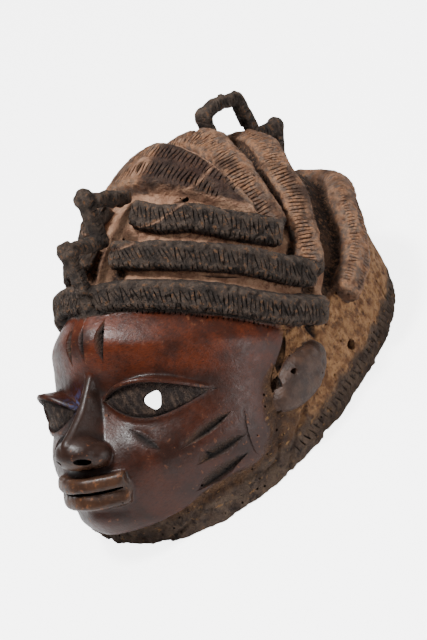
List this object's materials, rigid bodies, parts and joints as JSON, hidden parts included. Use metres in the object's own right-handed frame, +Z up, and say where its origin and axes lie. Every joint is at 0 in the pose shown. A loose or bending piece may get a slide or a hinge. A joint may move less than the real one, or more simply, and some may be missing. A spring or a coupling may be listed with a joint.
{
  "type": "gelede mask",
  "caption": "Carved wooden mask worn tilted on top of the head: a hollow helmet with a face, hatched braids of hair, an openwork crest and drilled pupils.",
  "frame": {"origin": "middle of the bounding box's underside, in the plane of the rim the mask rests on", "axes": "+X the mask's own left side, -Y the way the face looks, +Z up from the rim to the crown"},
  "size_m": [0.2224, 0.3532, 0.215],
  "materials": {
    "carved_wood": "worn dark brown patina, polished on the face and rough and dusty on the hair and neck"
  },
  "bodies": {
    "root": {"gelede_mask": "carved_wood"}
  },
  "joints": []
}
